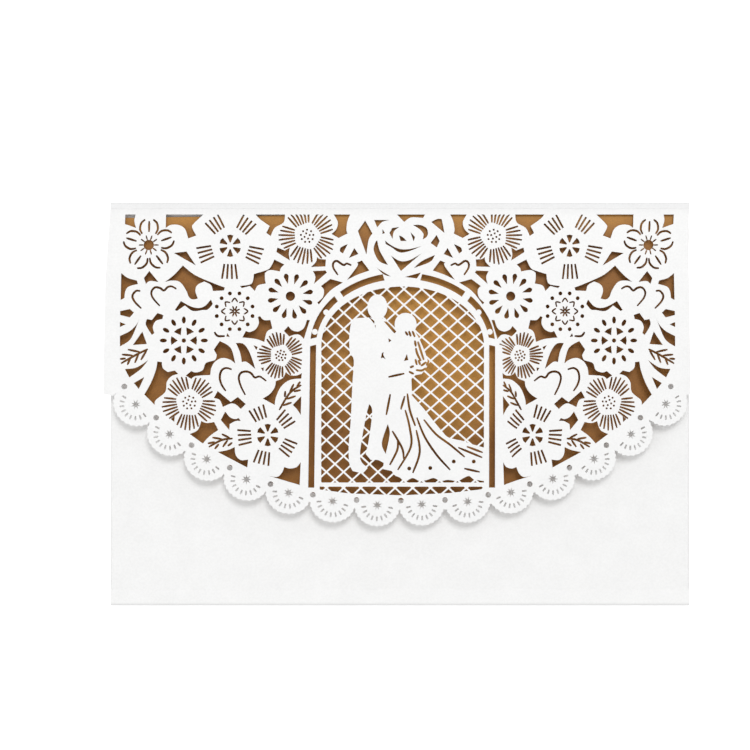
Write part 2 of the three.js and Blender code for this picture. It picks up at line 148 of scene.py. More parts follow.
def slit(places, width, taper=0.6):
    # A cut along a curve, slimmer at its ends.
    line = smoothLine(places)
    if len(line) == 2:
        a, b = line
        line = [(a[0] + (b[0] - a[0]) * t, a[1] + (b[1] - a[1]) * t) for t in (0, 0.25, 0.5, 0.75, 1)]
    left, right = [], []
    last = len(line) - 1
    for i, (x, y) in enumerate(line):
        ax, ay = line[max(i - 1, 0)]
        bx, by = line[min(i + 1, last)]
        length = math.hypot(bx - ax, by - ay) or 1.0
        half = width / 2 * (taper + (1 - taper) * math.sin(math.pi * i / last) ** 0.5)
        nx, ny = -(by - ay) / length * half, (bx - ax) / length * half
        left.append((x + nx, y + ny))
        right.append((x - nx, y - ny))
    return left + right[::-1]


def circle(steps):
    return [(math.cos(2 * math.pi * i / steps), math.sin(2 * math.pi * i / steps)) for i in range(steps)]


def oval(x, y, halfLong, halfWide, steps):
    return [(x + halfLong * c, y + halfWide * s) for c, s in circle(steps)]


def dot(x, y, radius, steps=8):
    return oval(x, y, radius, radius, steps)


def shifted(outlines, place):
    return [[(x + place[0], y + place[1]) for x, y in outline] for outline in outlines]


# Geometry Nodes that lay out the cuts that repeat

whiteCard = bpy.data.materials.new("whiteCard")


def newTree(name, sockets):
    tree = bpy.data.node_groups.new(name, "GeometryNodeTree")
    tree.interface.new_socket("Geometry", in_out="INPUT", socket_type="NodeSocketGeometry")
    for label, kind in sockets:
        tree.interface.new_socket(label, in_out="INPUT", socket_type="NodeSocket" + kind)
    tree.interface.new_socket("Geometry", in_out="OUTPUT", socket_type="NodeSocketGeometry")
    return tree, tree.nodes.new("NodeGroupInput").outputs


def addNode(tree, kind, values=None, links=None):
    # A link comes from a socket or from a node's first output.
    node = tree.nodes.new(kind)
    for key, value in (values or {}).items():
        if isinstance(key, str) and hasattr(node, key) and key not in node.inputs:
            setattr(node, key, value)
        else:
            node.inputs[key].default_value = value
    for key, source in (links or {}).items():
        tree.links.new(getattr(source, "outputs", [source])[0], node.inputs[key])
    return node


def finishTree(tree, instances):
    real = addNode(tree, "GeometryNodeRealizeInstances", links={"Geometry": instances})
    paint = addNode(tree, "GeometryNodeSetMaterial", {"Material": whiteCard}, {"Geometry": real})
    out = tree.nodes.new("NodeGroupOutput")
    tree.links.new(paint.outputs[0], out.inputs[0])
    return tree


def copiesAt(tree, cut, points, rotation=None):
    # The cut's object, laid down at every point.
    shape = addNode(tree, "GeometryNodeObjectInfo", {"As Instance": True}, {"Object": cut})
    links = {"Points": points, "Instance": shape.outputs["Geometry"]}
    if rotation:
        links["Rotation"] = rotation
    return addNode(tree, "GeometryNodeInstanceOnPoints", links=links)


def buildRingTree():
    # A cut repeated round a flower, each copy turned outwards.
    tree, given = newTree("ringOfCuts", [("Cut", "Object"), ("Count", "Int"), ("Radius", "Float"),
                                         ("First Turn", "Float")])
    places = addNode(tree, "GeometryNodeMeshCircle", {"fill_type": "NONE"},
                     {"Vertices": given["Count"], "Radius": given["Radius"]})
    where = tree.nodes.new("GeometryNodeInputPosition")
    outward = addNode(tree, "FunctionNodeAlignRotationToVector", {"axis": "X"}, {"Vector": where})
    copies = copiesAt(tree, given["Cut"], places, outward)
    angle = addNode(tree, "ShaderNodeCombineXYZ", links={"Z": given["First Turn"]})
    spun = addNode(tree, "GeometryNodeTransform", links={"Geometry": copies, "Rotation": angle})
    return finishTree(tree, spun)


def buildRowTree():
    # A cut repeated along the scallops, at the row's own places and turns.
    tree, given = newTree("rowOfCuts", [("Cut", "Object")])
    turn = addNode(tree, "GeometryNodeInputNamedAttribute", {"data_type": "FLOAT", "Name": "turn"})
    angle = addNode(tree, "ShaderNodeCombineXYZ", links={"Z": turn})
    return finishTree(tree, copiesAt(tree, given["Cut"], given["Geometry"], angle))


def buildLatticeTree():
    # Diamond openings between crossed bars: a grid of them and a second grid half a step on.
    tree, given = newTree("lattice", [("Cut", "Object"), ("Across", "Float"), ("Down", "Float"),
                                      ("Columns", "Int"), ("Rows", "Int")])
    both = tree.nodes.new("GeometryNodeJoinGeometry")
    for half in (0.0, 0.5):
        sides, offs = [], []
        for step, count in (("Across", "Columns"), ("Down", "Rows")):
            less = addNode(tree, "ShaderNodeMath", {"operation": "SUBTRACT", 1: 1.0}, {0: given[count]})
            sides.append(addNode(tree, "ShaderNodeMath", {"operation": "MULTIPLY"}, {0: less, 1: given[step]}))
            offs.append(addNode(tree, "ShaderNodeMath", {"operation": "MULTIPLY", 1: half}, {0: given[step]}))
        grid = addNode(tree, "GeometryNodeMeshGrid", links={
            "Size X": sides[0], "Size Y": sides[1],
            "Vertices X": given["Columns"], "Vertices Y": given["Rows"]})
        place = addNode(tree, "ShaderNodeCombineXYZ", links={"X": offs[0], "Y": offs[1]})
        moved = addNode(tree, "GeometryNodeTransform", links={"Geometry": grid, "Translation": place})
        tree.links.new(moved.outputs[0], both.inputs[0])
    return finishTree(tree, copiesAt(tree, given["Cut"], both))


def placed(name, data):
    made = bpy.data.objects.new(name, data)
    bpy.context.scene.collection.objects.link(made)
    return made


def flatObject(name, outlines, turns=None):
    # Outlines as flat faces, or places alone with their turns.
    verts, faces = [], []
    for outline in outlines:
        first = len(verts)
        verts += [(x, y, 0.0) for x, y in outline]
        if turns is None:
            faces.append(list(range(first, len(verts))))
    mesh = bpy.data.meshes.new(name)
    mesh.from_pydata(verts, [], faces)
    if turns is not None:
        mesh.attributes.new("turn", "FLOAT", "POINT").data.foreach_set("value", turns)
    return placed(name, mesh)


def laidOut(tree, cut, values, carrier=None):
    # Runs a tree on a carrier and returns the outlines of its faces.
    shape = flatObject("cut", cut)
    holder = carrier or flatObject("carrier", [])
    change = holder.modifiers.new("layout", "NODES")
    change.node_group = tree
    inputs = {item.name: item.identifier for item in tree.interface.items_tree
              if item.item_type == "SOCKET" and item.in_out == "INPUT"}
    change[inputs["Cut"]] = shape
    for label, value in values.items():
        change[inputs[label]] = value
    graph = bpy.context.evaluated_depsgraph_get()
    mesh = bpy.data.meshes.new_from_object(holder.evaluated_get(graph))
    outlines = [[tuple(mesh.vertices[v].co[:2]) for v in face.vertices] for face in mesh.polygons]
    for spare in (shape, holder):
        bpy.data.objects.remove(spare)
    bpy.data.meshes.remove(mesh)
    return outlines


ringTree = buildRingTree()
rowTree = buildRowTree()
latticeTree = buildLatticeTree()


def ring(place, cut, count, first):
    # The cut is drawn to the right of the ring's middle; first is its first copy's turn to the left.
    radius = 1.0  # of the circle that carries the copies
    near = [[(x - radius, y) for x, y in outline] for outline in cut]
    made = laidOut(ringTree, near, {"Count": count, "Radius": radius, "First Turn": math.radians(-first)})
    return shifted(made, place)


# Flowers in the left half of the lace, in drawing units and degrees

petals = 5
lineWidth = 2.3  # of the slits that draw lines

barFlowers = [
    {"place": (230.2, 245.8), "reach": 40.5, "turn": 125},
    {"place": (268, 435), "reach": 36.5, "turn": 113},
]
barShape = {
    "start": 0.45,  # shares of the reach
    "end": 0.82,
    "offs": (-5.4, -1.8, 1.8, 5.4),
    "splay": 1.4,
    "width": 2.1,
    "taper": 0.9,
    "wedge": [(3.4, -0.6), (10.4, -3.2), (11.2, 0), (10.4, 3.2), (3.4, 0.6)],
    "wedges": 6,
    "firstWedge": 90,
}
daisies = [
    {"place": (307.5, 236), "reach": 32, "turn": 111, "inner": 12},
    {"place": (189.5, 402.5), "reach": 31, "turn": 122, "inner": 12},
    {"place": (281, 355.5), "reach": 26.5, "turn": 106, "inner": 9.5},
]
daisyShape = {
    "slits": 6,
    "step": 11.4,  # degrees from slit to slit
    "gather": 0.86,  # share of that at their outer ends
    "end": 0.92,  # share of the reach
    "endSooner": 1.1,  # for each step away from the petal's middle
    "startLater": 0.6,
    "width": 2.1,
    "taper": 0.7,
    "dots": [(0.52, 9, 10), (0.23, 4, 20)],  # share of the inner radius, count, first turn
    "dotRadius": 1.1,
}
# Flowers made of rings of cuts, each with its count and first turn, round a dot
ringFlowers = {
    "corner": {
        "place": (148.5, 245),
        "rings": [
            ([slit([(25.5, 3.6), (22, 7.4), (16, 8.6), (11, 6.4)], lineWidth),
              slit([(24, -0.4), (13, -0.2)], lineWidth),
              slit([(25.5, -4.4), (22, -8.2), (16, -9.4), (11, -7)], lineWidth)], petals, 90),
            ([slit([(5, 0), (10, 0)], 1.5)], 10, 0),
        ],
        "middle": (5.2, 20),
    },
    "rosette": {
        "place": (184, 340.5),
        "rings": [
            ([[(6, 0), (12.5, -4.5), (13.2, 0), (12.5, 4.5)]], 6, 0),
            ([oval(20.5, 0, 3.6, 2.0, 14)], 12, 0),
        ],
        "middle": (2.2, 12),
    },
    "dotted": {
        "place": (234.8, 311.3),
        "rings": [
            ([slit([(9.2, -3.0), (13, 0), (9.2, 3.0)], 1.7)], 8, 0),
            ([dot(18.5, 0, 2, 12)], 12, 15),
            ([slit([(0.6, 0), (5.6, 0)], 1.7)], 8, 22),
        ],
    },
    "teardrops": {
        "place": (290.5, 296.2),
        "rings": [
            ([[(12.3, 0), (18.3, -2.0), (20.4, -2.5), (22.3, -1.6), (23.1, 0), (22.3, 1.6), (20.4, 2.5),
               (18.3, 2.0)]], 12, 12),
        ],
        "middle": (4.7, 20),
    },
}


def ringFlowerCuts(flower):
    cuts = []
    for cut, count, first in flower["rings"]:
        cuts += ring(flower["place"], cut, count, first)
    if "middle" in flower:
        cuts.append(dot(*flower["place"], *flower["middle"]))
    return cuts


def daisyCuts(daisy):
    # Petals with a fan of slits each, round a middle of small dots.
    shape, inner = daisyShape, daisy["inner"]
    fan = []
    for i in range(shape["slits"]):
        off = i - (shape["slits"] - 1) / 2
        angle = math.radians(off * shape["step"])
        gathered = angle * shape["gather"]
        begin = inner + abs(off) * shape["startLater"]
        end = daisy["reach"] * shape["end"] - abs(off) * shape["endSooner"]
        fan.append(slit([(begin * math.cos(angle), begin * math.sin(angle)),
                         (end * math.cos(gathered), end * math.sin(gathered))], shape["width"], shape["taper"]))
    cuts = ring(daisy["place"], fan, petals, daisy["turn"])
    for share, count, first in shape["dots"]:
        cuts += ring(daisy["place"], [dot(inner * share, 0, shape["dotRadius"])], count, first)
    return cuts


def barFlowerCuts(flower):
    # Petals with a comb of bars each, round a ring of wedges.
    shape, place, reach = barShape, flower["place"], flower["reach"]
    bars = [slit([(reach * shape["start"], off), (reach * shape["end"], off * shape["splay"])],
                 shape["width"], shape["taper"]) for off in shape["offs"]]
    wedges = ring(place, [shape["wedge"]], shape["wedges"], shape["firstWedge"])
    return ring(place, bars, petals, flower["turn"]) + wedges


# Slits that follow hearts, leaves and balls, drawn one by one
lineCuts = [
    [(160, 306), (153, 298), (151.5, 292), (155, 287.5), (160, 288), (164, 290.5), (168, 287), (172, 286.5),
     (176.5, 289)],
    [(140.5, 291), (136, 291), (132.5, 296), (135, 302), (141.5, 308.5)],
    [(232, 369.5), (226, 368), (221.5, 371), (220, 378), (222, 385), (226, 391)],
    [(245.5, 395), (241, 386), (239, 378), (241, 373), (246, 371.5), (251, 373), (255, 377.5), (260, 376.5),
     (266.5, 381)],
    [(338, 275), (333.5, 268), (333.5, 263), (337, 261), (343.5, 265), (347, 263.5), (351.5, 265.5)],
    [(148, 349), (135, 355.5), (121, 363.5)], [(128, 349.5), (140, 352)], [(122, 354.5), (133, 355.5)],
    [(120, 359), (126, 358.5)], [(147, 350), (141, 360)], [(139, 353), (135, 363)], [(131, 357), (127.5, 365)],
    [(301.5, 385), (290, 393), (279.5, 410)], [(300.5, 381.5), (297, 387)], [(294, 384), (290, 392)],
    [(285.5, 391), (285, 397)], [(301, 390), (294, 391.5)], [(296, 396), (287, 399)],
    [(292, 402.5), (283, 405.5)],
    [(233, 438.5), (222, 440), (209, 447)], [(222, 434), (230, 438)], [(212.5, 437.5), (222, 439)],
    [(208, 443.5), (215, 442)], [(228, 440), (223, 447)], [(232.5, 442.5), (228, 446)],
    [(219, 444), (215, 449)],
    [(214.5, 332), (218, 336), (225, 336)],
]

# Openings in the left half of the lace
openings = [
    [(123.5, 214.5), (134, 214.5), (133, 221), (135, 228), (123.5, 224)],
    [(165, 214.5), (203, 214.5), (193, 224), (192, 228), (196, 235.5), (188, 238.5), (184.5, 229), (178, 225),
     (170, 225), (165, 228)],
    [(256, 214.5), (285.5, 214.5), (284, 222.5), (275, 228), (271, 236), (266.5, 233), (270, 226), (260, 219)],
    [(174, 253), (186.5, 251.5), (196, 265.5)],
    [(183, 265.5), (195, 275), (213, 283), (225, 287.5), (224, 290.5), (213, 291), (211, 285), (204.5, 281.5),
     (197.5, 285), (195.5, 291), (198, 298.5), (193, 299.5), (189, 297), (186, 290), (180, 282), (172, 280.5),
     (165, 282), (174, 275)],
    [(175, 310), (181, 301), (190, 306), (198, 308), (205, 306), (211, 299.5), (213, 304), (208, 309.5),
     (203, 310), (193, 311), (185, 305.5), (177, 311)],
    [(121.3, 273), (128, 278), (137, 280.5), (138, 284), (129, 286.5), (125.5, 291), (124.5, 298),
     (120.7, 300)],
    [(149.5, 271), (158.5, 282), (150, 281), (146, 284), (144, 278)],
    [(120.3, 311), (130, 309), (134, 312.5), (130, 317.5), (120.3, 315)],
    [(120, 322), (126, 324.3), (120, 327)],
    [(120, 336), (130, 331), (137, 324), (140.5, 316), (136, 328), (130, 340), (120, 346.5)],
    [(147, 319), (152, 320), (157.5, 313), (163.5, 315), (162.5, 319), (156, 321), (153, 327), (154.5, 333),
     (152, 335), (146, 325)],
    [(142.5, 331.5), (147, 344), (133, 345)],
    [(125, 369), (135, 368), (142, 364.5), (148.5, 360), (141, 369), (129.5, 377.5)],
    [(134, 383), (144.5, 377), (139, 389)],
    [(157.5, 361.5), (162, 362), (163, 368), (168, 372), (175, 370.5), (178.5, 374), (172, 376), (167, 382),
     (165.5, 392), (156, 400), (155, 405), (144.5, 394.5), (151, 383), (156, 370)],
    [(171, 419), (175, 416), (174.5, 422)],
    [(218, 452), (228, 450), (235, 447), (236, 455), (241, 460), (248.5, 459.5), (247.5, 467.5)],
    [(268, 475.5), (277, 477), (282, 473), (284.5, 467), (290, 468.5), (297, 467), (301, 462), (300, 485)],
    [(186, 375.5), (191.5, 371), (196, 372.5), (203, 370), (206, 363), (215, 360), (217, 355), (214, 349.5),
     (220, 341), (231, 348), (235.5, 363.5), (230, 359.5), (222, 358), (215, 362), (211.5, 368), (210.5, 375),
     (196, 376), (191.5, 379)],
    [(236, 343), (243, 343.5), (248, 349), (252, 358), (255.5, 369), (247, 362), (242, 362), (240, 352)],
    [(253.5, 345), (258, 347), (256.5, 350)],
    [(261, 368), (264, 367.5), (263.5, 371.5)],
    [(227.5, 333), (230, 337), (226.5, 336.5)],
    [(246, 331), (250, 332), (256, 329), (259, 323), (258, 317), (260, 316), (264, 320), (270.5, 320),
     (272.5, 328.5), (267, 332), (264.5, 342), (256, 339), (242.5, 337.5)],
    [(284, 331), (288.5, 326), (292, 330), (298, 331.5), (304, 328), (307, 320), (310, 320), (304, 339),
     (300, 335), (295, 334.5), (289.5, 336.5)],
    [(321, 286), (330.5, 279), (343, 282.5), (330, 291), (319, 304.5), (317.5, 302.5), (323, 297), (324, 290)],
    [(313, 271), (325.5, 270.5), (327, 272.5), (314, 284), (315.5, 277)],
    [(311, 267), (316, 262), (317, 257), (320, 259), (326, 259.5), (325.5, 266.5)],
    [(277.5, 247.5), (285, 250.5), (290, 247.5), (289, 254), (290, 260.5), (276.5, 252)],
    [(274.5, 259.5), (284.5, 264.5), (281, 268), (280, 271.5), (270, 270), (265, 273), (265, 279), (266, 283.5),
     (258, 285.5), (255, 291), (250, 286), (242, 288), (240, 286), (250, 284.5), (253, 281), (254, 274),
     (264, 271), (270, 268)],
    [(334.5, 214.5), (351, 214.5), (348, 222), (347, 230), (348, 233.5), (339, 238), (332, 234), (337, 229),
     (338.5, 222)],
    [(341, 247.5), (348, 244), (343, 253.5), (340, 251.5)],
    [(354.5, 248), (358.5, 254), (349, 258)],
    [(357, 262.5), (362, 260.5), (369.5, 270.5), (357, 275), (347, 280), (357.5, 266)],
    [(214, 398), (218, 391), (231, 402), (238, 397), (246, 404), (241, 409), (236, 404.5), (231, 403.5),
     (223, 407), (220, 400)],
    [(225.5, 411.5), (230, 417), (235, 419), (239, 418), (241, 421), (236, 421), (230, 424), (229.5, 430),
     (221, 420)],
    [(190, 434), (198, 430), (201.5, 421), (207, 423), (214.5, 422), (218.5, 430), (210, 436), (203, 443.5)],
    [(286, 372), (290, 375), (297, 375.5), (302, 373), (301.5, 378.5), (290, 380), (281, 387), (276, 398),
     (275, 405), (263, 398.5), (270, 394), (275, 387), (276, 381), (283, 378)],
    [(293, 405), (301.5, 396), (301, 415), (297, 409)],
]

# The rose in the middle
roseOpenings = [
    [(398, 214.5), (426, 214.5), (424, 218), (412, 217.5), (405, 222)],
    [(375, 220), (391, 220), (383, 222), (378, 227.5)],
    [(366, 220.5), (373, 233.5), (369, 240), (366.5, 254.5), (358.5, 231)],
    [(383, 229), (385.5, 233), (383, 234)],
    [(377.5, 240), (380, 251), (388, 265), (379, 261), (374, 251), (375, 244)],
    [(400, 227), (393, 228), (390, 233), (393, 239), (394.5, 231.5)],
    [(413.5, 225), (421, 225), (427, 228), (428.5, 233), (427, 237), (423, 239.5), (424, 234), (420, 229)],
    [(399.5, 235.5), (403, 237), (407, 241), (401, 241)],
    [(411, 232), (415.5, 237), (414, 241.5)],
    [(385.5, 240.5), (391, 245), (400, 249), (410, 249), (422, 246), (410, 251), (400, 252.5), (392, 247.5),
     (386, 244)],
    [(391, 255.5), (400, 261), (410, 260), (422, 253), (401, 271)],
    [(414, 268), (422, 261), (435, 255), (430, 262)],
    [(377, 268), (391, 276.5), (384, 274.5)],
    [(405, 277), (421, 272.5), (417, 278.5)],
    [(437, 235), (440, 241), (437, 247.5), (431, 243)],
    [(432, 222), (438, 219), (442.5, 219), (445, 233)],
]

# The arch: ellipse tops over straight sides, with slots broken by bridges, and the lattice inside
arch = {
    "middle": 402.8,
    "spring": 345.0,
    "floor": 482.5,
    "inner": (81.3, 58.5),  # half width and rise of the field
    "slotIn": (86.5, 66),  # and of the slot's two sides
    "slotOut": (92.5, 72.5),
    "splay": 1.8,
    "ground": 486.6,
    "nearSide": 286.0,  # from here to the arch, the right half's cuts lie closer together
    "nearShare": 0.8,
}
lattice = {
    "across": 17.9,
    "down": 15.9,
    "bar": 1.75,
    "node": (404.0, 384.5),  # a crossing
    "leftSqueeze": 0.96,  # the crossings left of it lie a little closer together
    "columns": 13,
    "rows": 17,
}


def archOutline(halfAndRise, floor, splay=0.0, steps=48):
    # The left side leans out by splay at the floor.
    half, rise = halfAndRise
    top = [(arch["middle"] + half * math.cos(math.pi * i / steps),
            arch["spring"] - rise * math.sin(math.pi * i / steps)) for i in range(steps + 1)]
    return [(arch["middle"] + half, floor)] + top + [(arch["middle"] - half - splay, floor)]


def latticeCells():
    # A diamond between four crossings, its sides drawn in by half a bar.
    across, down = lattice["across"], lattice["down"]
    share = 1 - lattice["bar"] * math.hypot(across, down) / (across * down)
    cell = [[(0, down / 2 * share), (across / 2 * share, 0), (0, -down / 2 * share), (-across / 2 * share, 0)]]
    made = laidOut(latticeTree, cell, {"Across": across, "Down": down,
                                       "Columns": lattice["columns"], "Rows": lattice["rows"]})
    # The tree centres its first grid on a cell, and a crossing is half a cell to its left.
    x, y = lattice["node"]
    squeeze = lattice["leftSqueeze"]
    cells = shifted(made, (x + across / 2, y))
    return [[(x + (px - x) * (squeeze if px < x else 1), py) for px, py in cell] for cell in cells]


bridgeWidth = 7
budRadius = 2.9
slotBridges = [
    [(381, 268), (388, 292), (417, 292), (424, 268)],
    slit([(333, 288), (347, 308)], bridgeWidth, 1.0),
    slit([(304, 344), (325, 339)], bridgeWidth, 1.0),
    dot(326.3, 312.3, budRadius, 14),
    dot(315.0, 331.8, budRadius, 14),
]
footWindow = [(320, 486.6), (484.5, 486.6), (484.5, 489), (450, 493), (402, 495.3), (350, 493.5), (320, 489.5)]

# The couple under the arch: plain silhouettes, with slits for the folds of their clothes
couple = {
    "heads": [oval(377.5, 307, 10, 12.5, 28), oval(405.7, 324.3, 11, 11.5, 28)],
    "suit": [(371, 317.5), (356, 318.5), (351.5, 323), (349.5, 335), (350, 353), (354, 360), (352.5, 385),
             (351, 420), (349, 445), (349.5, 463), (353, 471), (363, 473.5), (368, 468), (360.5, 459),
             (362, 440), (366.5, 415), (369.5, 404), (372.5, 412), (369, 440), (366, 454), (371, 460),
             (378, 460), (384, 463), (383, 469), (392, 471), (410, 430), (410, 350), (398, 331), (390, 327),
             (384, 319), (376, 318)],
    "dress": [(398, 328), (414, 330), (420, 340), (428, 362), (422, 374), (411, 376), (407.5, 387),
              (411.5, 394.5), (418.5, 402.5), (425.5, 410.5), (432.5, 419.5), (442.5, 431.5), (449, 437.5),
              (463.5, 441), (470, 443.5), (484, 447.5), (488, 465), (484, 481), (476, 479.5), (469.4, 476),
              (463, 478.5), (458, 481), (448, 479.8), (441, 481), (434, 478), (427, 480), (420, 481),
              (413, 478), (407, 481), (400, 477.5), (392, 471), (384, 440), (390, 390), (388, 350),
              (390, 335)],
    "folds": [
        [(390.5, 394), (386.5, 415)], [(405, 396), (401, 409.5)], [(407.5, 393.5), (410, 410), (415.5, 426)],
        [(405.5, 410), (410, 428), (411, 447), (398, 470)], [(416.5, 430), (420, 452), (413, 473)],
        [(417, 417.5), (425, 437), (437, 455), (450.5, 470)],
        [(424, 419.5), (436, 434), (450, 444.5), (465, 457)],
        [(458.5, 447.5), (482.5, 457.5)], [(388.5, 377), (404.5, 373.5)],
        [(392.5, 431), (398, 440), (403, 450), (404, 459)], [(398, 440), (397.5, 450), (390, 465)],
        [(467, 446.5), (483, 452.5)], [(464.5, 468.5), (480, 472)],
        [(418, 341.5), (421, 351), (424, 360)], [(416, 348), (417.5, 354), (421, 361)],
        [(405.5, 331.5), (408, 335.5)], [(409, 331), (411, 336.5)], [(412.5, 331), (415, 337)],
        [(415, 340.5), (416, 346.5)], [(415.5, 359), (417, 365)], [(418.5, 360), (420.5, 365)],
        [(410, 367.5), (414, 366)], [(416, 370), (422, 370.5), (426, 368)], [(409, 371.5), (414, 374)],
        [(421, 366), (426.5, 362)], [(426.5, 365.5), (429, 361)],
    ],
    "dots": [(409.5, 468.5), (430.5, 468), (454, 461.5), (474, 461.5)],
    "dotRadius": 2,
    "tears": [
        [(388, 424), (390, 434), (386, 454), (382, 443)],
        [(388.5, 338), (391.5, 340.5), (389, 342.5)],
        [(404, 361), (407, 354), (408.5, 360)],
        [(382, 353), (384, 352), (383.5, 355), (386, 359.5), (383, 357.5), (381, 358.5)],
        [(384, 321.5), (388, 322.5), (396.5, 331.5), (394.5, 333.5)],
        [(367, 315), (374.5, 321), (374.5, 324)], [(374.8, 325), (376, 325.5), (375.5, 328)],
    ],
}

# The scalloped border: a row of dots, and a star and a fan of slits on each scallop
border = {
    "dots": [(124.5, 386.5), (156.4, 417.7), (191.8, 445.2), (230.1, 467.7), (270.8, 484.2), (313.2, 494.8),
             (356.9, 500), (401.2, 500.6)],
    "stars": [(136, 404.5), (169.8, 434.3), (207, 459.3), (246.8, 479.5), (288.8, 492.8), (333, 501.3),
              (377.6, 505.2)],
    # The right half's stars, given mirrored, sit a little further out between their dots.
    "rightStars": [(129.7, 404), (166.1, 434.3), (204.7, 459), (247.2, 478.9), (290.1, 492.3), (334.1, 501.7),
                   (380.4, 504.5)],
    "dotRadius": 2.85,
    "dotSteps": 14,
    "rimLeft": 5.5,  # how far beyond the dots the card ends between the scallops
    "rimRight": 9.5,
    "scallop": (20.8, 22.6),  # outward, and along the row
    "wave": 0.5,
    "waves": 26,
    "waveSteps": 5,
    "ray": (2.1, 5.2),  # the star's inner and outer radius
    "rays": 8,
    "slits": 9,
    "slitStep": 20.3,  # degrees
    "slitEnds": (11.3, 15.9),
    "slitWidth": 1.8,
    "slitTaper": 0.85,
}


def rowCarrier(places, rightPlaces):
    # Places along the row, with the turn of the outward normal at each.
    row = [toFlap(place) for place in places]
    row += [(-x, y) for x, y in map(toFlap, rightPlaces[::-1])]
    turns = []
    for i in range(len(row)):
        ax, ay = row[max(i - 1, 0)]
        bx, by = row[min(i + 1, len(row) - 1)]
        turns.append(math.atan2(bx - ax, -(by - ay)))
    return flatObject("row", [row], turns), row, turns


def borderCuts():
    unit = drawing["unit"]
    carrier, dotRow, dotTurns = rowCarrier(border["dots"], border["dots"][:-1])
    cuts = laidOut(rowTree, [dot(0, 0, border["dotRadius"] * unit, border["dotSteps"])], {}, carrier)
    star = [[(border["ray"][i % 2] * c, border["ray"][i % 2] * s)
             for i, (c, s) in enumerate(circle(2 * border["rays"]))]]
    fan = []
    for i in range(border["slits"]):
        angle = math.radians((i - (border["slits"] - 1) / 2) * border["slitStep"])
        ends = [(end * math.cos(angle), end * math.sin(angle)) for end in border["slitEnds"]]
        fan.append(slit(ends, border["slitWidth"], border["slitTaper"]))
    small = [[(x * unit, y * unit) for x, y in outline] for outline in star + fan]
    lobe = []
    steps = border["waves"] * border["waveSteps"]
    for i in range(steps):
        turn = 2 * math.pi * i / steps
        out, along = (reach + border["wave"] * math.cos(border["waves"] * turn) for reach in border["scallop"])
        lobe.append((out * unit * math.cos(turn), along * unit * math.sin(turn)))
    made = [laidOut(rowTree, shapes, {}, rowCarrier(border["stars"], border["rightStars"])[0])
            for shapes in (small, [lobe])]
    rim = dotRow[:1]
    for (x, y), turn in zip(dotRow[1:-1], dotTurns[1:-1]):
        out = (border["rimRight"] if x > 1 else border["rimLeft"]) * unit
        rim.append((x + out * math.cos(turn), y + out * math.sin(turn)))
    return cuts + made[0], made[1], rim + dotRow[-1:]


def besideArch(x, y):
    if x > arch["nearSide"] and y > arch["spring"]:
        x = arch["nearSide"] + (x - arch["nearSide"]) * arch["nearShare"]
    return (x, y)


print("lace: laying out the cuts")
left = ringFlowerCuts(ringFlowers["corner"])
for flower in barFlowers:
    left += barFlowerCuts(flower)
for daisy in daisies:
    left += daisyCuts(daisy)
for name in ("rosette", "dotted", "teardrops"):
    left += ringFlowerCuts(ringFlowers[name])
left += [slit(places, lineWidth) for places in lineCuts] + [rounded(outline) for outline in openings]
plainTop = openings[0][0][1]  # above this the card under the fold stays plain
left = [[(x, max(y, plainTop)) for x, y in outline] for outline in left]
leftCuts = onFlap(left)
rightCuts = mirrored(onFlap([[besideArch(x, y) for x, y in outline] for outline in left]))
middleCuts = onFlap([rounded(outline) for outline in roseOpenings])
middleCuts += onFlap([slit(places, lineWidth) for places in couple["folds"]])
middleCuts += onFlap([dot(x, y, couple["dotRadius"], 10) for x, y in couple["dots"]]
                     + [rounded(tear) for tear in couple["tears"]])
borderHoles, lobes, rim = borderCuts()
cells = onFlap(latticeCells())
fields = onFlap([archOutline(arch["inner"], arch["floor"]), footWindow])
figures = onFlap(couple["heads"] + [rounded(couple["suit"]), rounded(couple["dress"])])
slots = onFlap([archOutline(arch["slotOut"], arch["ground"] + 1, arch["splay"])])
slotCores = onFlap([archOutline(arch["slotIn"], arch["ground"] + 2, arch["splay"])])  # past the slots' end
bridges = onFlap(slotBridges)
bridges += [[(2 * toFlap((arch["middle"], 0))[0] - x, y) for x, y in outline] for outline in bridges[1:]]

half = sheet["width"] / 2
# The side of the flap from its first scallop up to the fold
sideLine = [toFlap(place) for place in ((118, 392), (113, 395.8), (103.4, 394), (104.2, 340), (105.4, 280),
                                        (107.4, 235))]
lift = math.radians(sheet["lift"])
start = sheet["outer"] - sheet["bend"] * math.sin(math.pi - lift) + sheet["stub"] * math.cos(lift)
blank = [(-half, start)] + sideLine[::-1] + rim + [(-x, y) for x, y in sideLine] + [(half, start)]


def insideOf(outlines, x, y):
    # Which of the points lie inside any of the outlines.
    hit = np.zeros(len(x), bool)
    for outline in outlines:
        loop = np.array(outline)
        low, high = loop.min(axis=0), loop.max(axis=0)
        near = np.nonzero((x > low[0]) & (x < high[0]) & (y > low[1]) & (y < high[1]) & ~hit)[0]
        if not len(near):
            continue
        px, py = x[near][:, None], y[near][:, None]
        ax, ay = loop[:, 0], loop[:, 1]
        bx, by = np.roll(ax, -1), np.roll(ay, -1)
        level = np.where(by == ay, 1e-12, by - ay)
        crosses = ((ay > py) != (by > py)) & (px < ax + (py - ay) * (bx - ax) / level)
        hit[near] = crosses.sum(axis=1) % 2 == 1
    return hit


